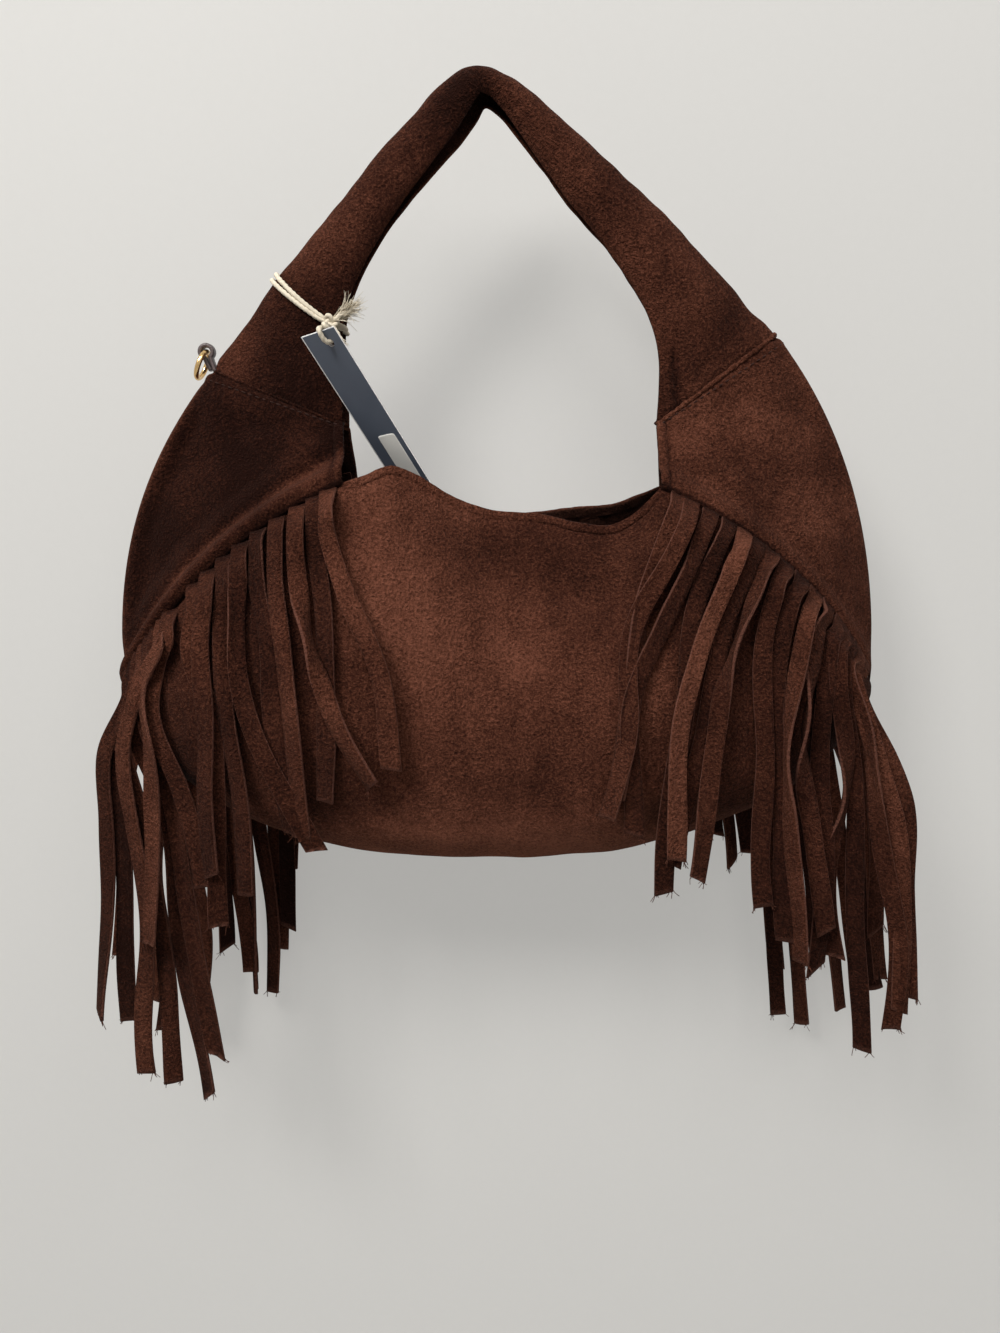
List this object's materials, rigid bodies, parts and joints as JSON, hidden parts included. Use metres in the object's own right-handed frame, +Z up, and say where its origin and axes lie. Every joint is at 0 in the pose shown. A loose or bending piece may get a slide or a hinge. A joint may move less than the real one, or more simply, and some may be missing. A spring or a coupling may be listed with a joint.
{
  "type": "fringed suede hobo bag",
  "caption": "Slouchy brown suede hobo bag with a folded shoulder handle, long side fringes, a small ring on a leather tab and a blank hang tag, hanging from its handle.",
  "frame": {"origin": "the underside of the handle's top bend, where a hook or a hand bears", "axes": "+Z up as the bag hangs, +X to the right of a viewer in front, -Y out of the bag's front"},
  "size_m": [0.4346, 0.1186, 0.4932],
  "materials": {
    "suede": "napped chocolate-brown suede, matt, with cloudy brushed patches",
    "tab_leather": "smooth dark brown leather with a soft sheen",
    "ring_metal": "polished pale gold plating",
    "cotton_string": "twisted off-white cotton",
    "tag_card": "matt slate-blue card with white cut edges"
  },
  "bodies": {
    "bag": {"body": "suede", "left_yoke": "suede", "right_yoke": "suede", "handle": "suede", "front_left_fringe": "suede", "front_right_fringe": "suede", "back_left_fringe": "suede", "back_right_fringe": "suede", "ring_tab": "tab_leather", "tag_string": "cotton_string", "tag_front_card": "tag_card", "tag_back_card": "tag_card"},
    "ring": {"ring": "ring_metal"}
  },
  "joints": [
    {"name": "ring_swing", "type": "hinge", "parent": "bag", "child": "ring", "pos_m": [-0.13076, 0, -0.10661], "axis": [0, 1, 0], "range_deg": [0, 165]}
  ]
}
